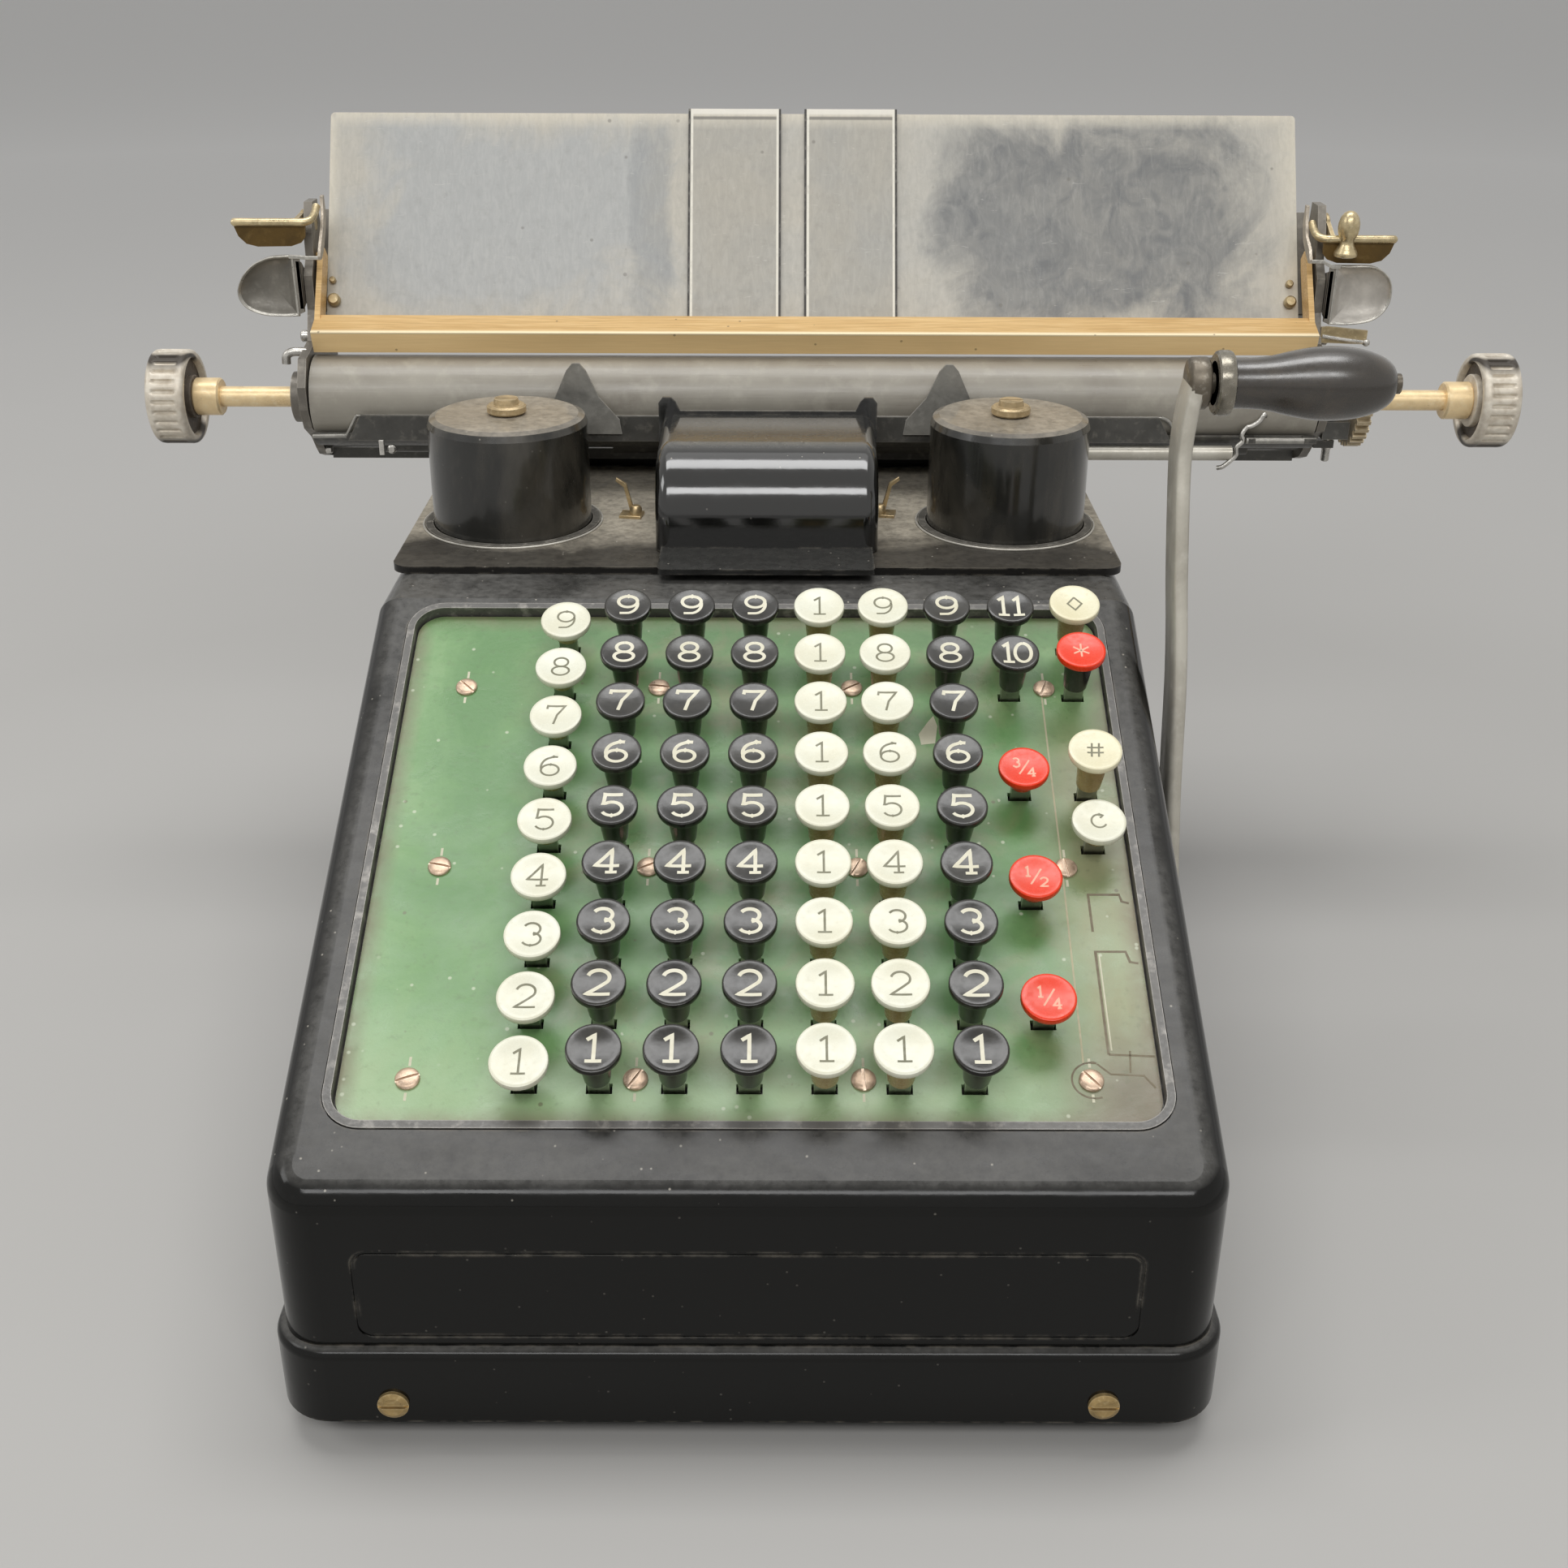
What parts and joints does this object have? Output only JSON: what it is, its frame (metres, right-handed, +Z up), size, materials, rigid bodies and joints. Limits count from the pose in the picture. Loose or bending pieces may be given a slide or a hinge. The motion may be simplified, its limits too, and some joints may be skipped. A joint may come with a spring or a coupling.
{
  "type": "adding machine",
  "caption": "Full-keyboard adding machine with a sloping key plate, ribbon covers, side crank and wide sliding paper carriage.",
  "frame": {"origin": "on the table, in the plane of the four feet, under the middle of the outline of the whole machine with its carriage at rest, 26 mm right of the middle of the case", "axes": "+X to the operator's right along the platen, +Y to the back, +Z up"},
  "size_m": [0.4902, 0.3682, 0.2908],
  "materials": {
    "black_enamel": "gloss black enamel, worn and dusty",
    "black_key": "black plastic",
    "black_wood": "black varnished wood",
    "brass": "dull brass",
    "bronze_bar": "tan painted bar",
    "dark_steel": "dark blued steel, worn",
    "green_plate": "satin green paint",
    "pale_trim": "pale dulled metal",
    "platen_rubber": "hard black rubber, greyed",
    "red_key": "red plastic",
    "rubber": "black rubber",
    "steel": "dull steel",
    "white_key": "ivory plastic"
  },
  "bodies": {
    "case": {"base_pan": "black_enamel", "rubber_feet": "rubber", "body_shell": "black_enamel", "rear_cover": "black_enamel", "deck_plate": "black_enamel", "keyboard_plate": "green_plate", "keyboard_trim_ring": "pale_trim", "plate_screws": "steel", "case_screws": "brass", "side_frames": "steel", "tie_rods": "steel", "key_guide_plate": "steel", "carriage_rails": "steel", "ribbon_cups": "pale_trim", "paper_shield": "dark_steel", "card_fingers": "dark_steel", "type_bar_guide": "steel", "crank_bushing": "steel"},
    "left_cover": {"left_ribbon_cover": "black_enamel"},
    "right_cover": {"right_ribbon_cover": "black_enamel"},
    "left_nut": {"left_cover_nut": "brass"},
    "right_nut": {"right_cover_nut": "brass"},
    "left_spool": {"left_ribbon_spool": "steel"},
    "right_spool": {"right_ribbon_spool": "steel"},
    "hood": {"type_cover": "black_enamel"},
    "printing_bars": {"type_bars": "steel"},
    "wheels": {"adding_wheels": "steel"},
    "crank": {"crank_arm": "steel", "drive_shaft": "steel"},
    "grip": {"crank_grip": "black_wood"},
    "carriage": {"carriage_bed": "dark_steel", "left_end_plate": "dark_steel", "right_end_plate": "dark_steel", "paper_pan": "dark_steel", "paper_table": "dark_steel"},
    "left_guide": {"left_paper_guide": "dark_steel"},
    "right_guide": {"right_paper_guide": "dark_steel"},
    "rollers": {"pressure_rollers": "steel"},
    "bail": {"paper_bail": "bronze_bar"},
    "left_release": {"left_release_lever": "dark_steel"},
    "right_release": {"right_release_lever": "dark_steel"},
    "left_lever": {"left_carriage_lever": "brass"},
    "right_lever": {"right_carriage_lever": "brass"},
    "platen_group": {"platen": "platen_rubber", "platen_shaft": "brass", "left_platen_knob": "dark_steel", "right_platen_knob": "dark_steel", "line_space_ratchet": "steel"},
    "pound_thousand_keys_bank": {"pound_thousand_keys": "white_key"},
    "pound_hundred_keys_bank": {"pound_hundred_keys": "black_key"},
    "pound_ten_keys_bank": {"pound_ten_keys": "black_key"},
    "pound_unit_keys_bank": {"pound_unit_keys": "black_key"},
    "ten_shilling_keys_bank": {"ten_shilling_keys": "white_key"},
    "shilling_keys_bank": {"shilling_keys": "white_key"},
    "pence_keys_bank": {"pence_keys": "black_key"},
    "farthing_keys_bank": {"farthing_keys": "red_key"},
    "sub_total_key_bank": {"sub_total_key": "white_key"},
    "total_key_bank": {"total_key": "red_key"},
    "non_add_key_bank": {"non_add_key": "white_key"},
    "repeat_key_bank": {"repeat_key": "white_key"}
  },
  "joints": [
    {"name": "carriage_slide", "type": "slide", "parent": "case", "child": "carriage", "axis": [1, 0, 0], "range_m": [-0.16, 0.12]},
    {"name": "platen_turn", "type": "hinge", "parent": "carriage", "child": "platen_group", "pos_m": [-0.0038, 0.12724, 0.197], "axis": [1, 0, 0], "continuous": true},
    {"name": "pressure_roller_turn", "type": "hinge", "parent": "carriage", "child": "rollers", "pos_m": [-0.0038, 0.13384, 0.17886], "axis": [1, 0, 0], "continuous": true},
    {"name": "bail_hinge", "type": "hinge", "parent": "carriage", "child": "bail", "pos_m": [-0.00675, 0.14874, 0.2425], "axis": [-1, 0, 0], "range_deg": [0, 30]},
    {"name": "left_release_turn", "type": "hinge", "parent": "carriage", "child": "left_release", "pos_m": [-0.1918, 0.14324, 0.234], "axis": [1, 0, 0], "range_deg": [0, 15]},
    {"name": "right_release_turn", "type": "hinge", "parent": "carriage", "child": "right_release", "pos_m": [0.1782, 0.14324, 0.234], "axis": [1, 0, 0], "range_deg": [0, 15]},
    {"name": "left_lever_turn", "type": "hinge", "parent": "carriage", "child": "left_lever", "pos_m": [-0.1918, 0.15224, 0.254], "axis": [-1, 0, 0], "range_deg": [0, 20], "stiffness_Nm_per_rad": 0.05, "springref_deg": -11.46},
    {"name": "right_lever_turn", "type": "hinge", "parent": "carriage", "child": "right_lever", "pos_m": [0.1782, 0.15224, 0.254], "axis": [-1, 0, 0], "range_deg": [0, 20], "stiffness_Nm_per_rad": 0.05, "springref_deg": -11.46},
    {"name": "left_guide_slide", "type": "slide", "parent": "carriage", "child": "left_guide", "axis": [1, 0, 0], "range_m": [-0.125, 0.004]},
    {"name": "right_guide_slide", "type": "slide", "parent": "carriage", "child": "right_guide", "axis": [1, 0, 0], "range_m": [-0.004, 0.14]},
    {"name": "crank_turn", "type": "hinge", "parent": "case", "child": "crank", "pos_m": [-0.0263, -0.03276, 0.06], "axis": [1, 0, 0], "range_deg": [0, 85], "stiffness_Nm_per_rad": 0.9, "springref_deg": -22.92},
    {"name": "grip_turn", "type": "hinge", "parent": "crank", "child": "grip", "pos_m": [0.1337, -0.00026, 0.234], "axis": [1, 0, 0], "continuous": true},
    {"name": "type_bar_rise", "type": "slide", "parent": "case", "child": "printing_bars", "axis": [0, 0, 1], "range_m": [0, 0.024]},
    {"name": "adding_wheel_turn", "type": "hinge", "parent": "case", "child": "wheels", "pos_m": [-0.0263, 0.05324, 0.092], "axis": [1, 0, 0], "range_deg": [0, 175]},
    {"name": "left_spool_turn", "type": "hinge", "parent": "case", "child": "left_spool", "pos_m": [-0.1113, 0.07724, 0.172], "axis": [0, 0, 1], "continuous": true},
    {"name": "right_spool_turn", "type": "hinge", "parent": "case", "child": "right_spool", "pos_m": [0.0587, 0.07724, 0.172], "axis": [0, 0, 1], "continuous": true},
    {"name": "left_cover_lift", "type": "slide", "parent": "case", "child": "left_cover", "axis": [0, 0, 1], "range_m": [0, 0.045]},
    {"name": "right_cover_lift", "type": "slide", "parent": "case", "child": "right_cover", "axis": [0, 0, 1], "range_m": [0, 0.045]},
    {"name": "left_nut_turn", "type": "hinge", "parent": "left_cover", "child": "left_nut", "pos_m": [-0.1113, 0.07724, 0.206], "axis": [0, 0, 1], "continuous": true},
    {"name": "right_nut_turn", "type": "hinge", "parent": "right_cover", "child": "right_nut", "pos_m": [0.0587, 0.07724, 0.206], "axis": [0, 0, 1], "continuous": true},
    {"name": "type_cover_lift", "type": "slide", "parent": "case", "child": "hood", "axis": [0, 0, 1], "range_m": [0, 0.03]},
    {"name": "pound_thousand_keys_press", "type": "slide", "parent": "case", "child": "pound_thousand_keys_bank", "axis": [0, 0.4131, -0.9107], "range_m": [0, 0.005], "stiffness_N_per_m": 120, "springref_m": -0.004},
    {"name": "pound_hundred_keys_press", "type": "slide", "parent": "case", "child": "pound_hundred_keys_bank", "axis": [0, 0.4131, -0.9107], "range_m": [0, 0.005], "stiffness_N_per_m": 120, "springref_m": -0.004},
    {"name": "pound_ten_keys_press", "type": "slide", "parent": "case", "child": "pound_ten_keys_bank", "axis": [0, 0.4131, -0.9107], "range_m": [0, 0.005], "stiffness_N_per_m": 120, "springref_m": -0.004},
    {"name": "pound_unit_keys_press", "type": "slide", "parent": "case", "child": "pound_unit_keys_bank", "axis": [0, 0.4131, -0.9107], "range_m": [0, 0.005], "stiffness_N_per_m": 120, "springref_m": -0.004},
    {"name": "ten_shilling_keys_press", "type": "slide", "parent": "case", "child": "ten_shilling_keys_bank", "axis": [0, 0.4131, -0.9107], "range_m": [0, 0.005], "stiffness_N_per_m": 120, "springref_m": -0.004},
    {"name": "shilling_keys_press", "type": "slide", "parent": "case", "child": "shilling_keys_bank", "axis": [0, 0.4131, -0.9107], "range_m": [0, 0.005], "stiffness_N_per_m": 120, "springref_m": -0.004},
    {"name": "pence_keys_press", "type": "slide", "parent": "case", "child": "pence_keys_bank", "axis": [0, 0.4131, -0.9107], "range_m": [0, 0.005], "stiffness_N_per_m": 120, "springref_m": -0.004},
    {"name": "farthing_keys_press", "type": "slide", "parent": "case", "child": "farthing_keys_bank", "axis": [0, 0.4131, -0.9107], "range_m": [0, 0.005], "stiffness_N_per_m": 120, "springref_m": -0.004},
    {"name": "sub_total_key_press", "type": "slide", "parent": "case", "child": "sub_total_key_bank", "axis": [0, 0.4131, -0.9107], "range_m": [0, 0.005], "stiffness_N_per_m": 120, "springref_m": -0.004},
    {"name": "total_key_press", "type": "slide", "parent": "case", "child": "total_key_bank", "axis": [0, 0.4131, -0.9107], "range_m": [0, 0.005], "stiffness_N_per_m": 120, "springref_m": -0.004},
    {"name": "non_add_key_press", "type": "slide", "parent": "case", "child": "non_add_key_bank", "axis": [0, 0.4131, -0.9107], "range_m": [0, 0.005], "stiffness_N_per_m": 120, "springref_m": -0.004},
    {"name": "repeat_key_press", "type": "slide", "parent": "case", "child": "repeat_key_bank", "axis": [0, 0.4131, -0.9107], "range_m": [0, 0.005], "stiffness_N_per_m": 120, "springref_m": -0.004}
  ],
  "couplings": [
    {"joint": "pressure_roller_turn", "follows": "platen_turn", "ratio": -3.75},
    {"joint": "right_release_turn", "follows": "left_release_turn", "ratio": 1},
    {"joint": "right_lever_turn", "follows": "left_lever_turn", "ratio": 1},
    {"joint": "type_bar_rise", "follows": "crank_turn", "m_per_rad": 0.016},
    {"joint": "adding_wheel_turn", "follows": "crank_turn", "ratio": 2},
    {"joint": "right_spool_turn", "follows": "left_spool_turn", "ratio": 1}
  ]
}
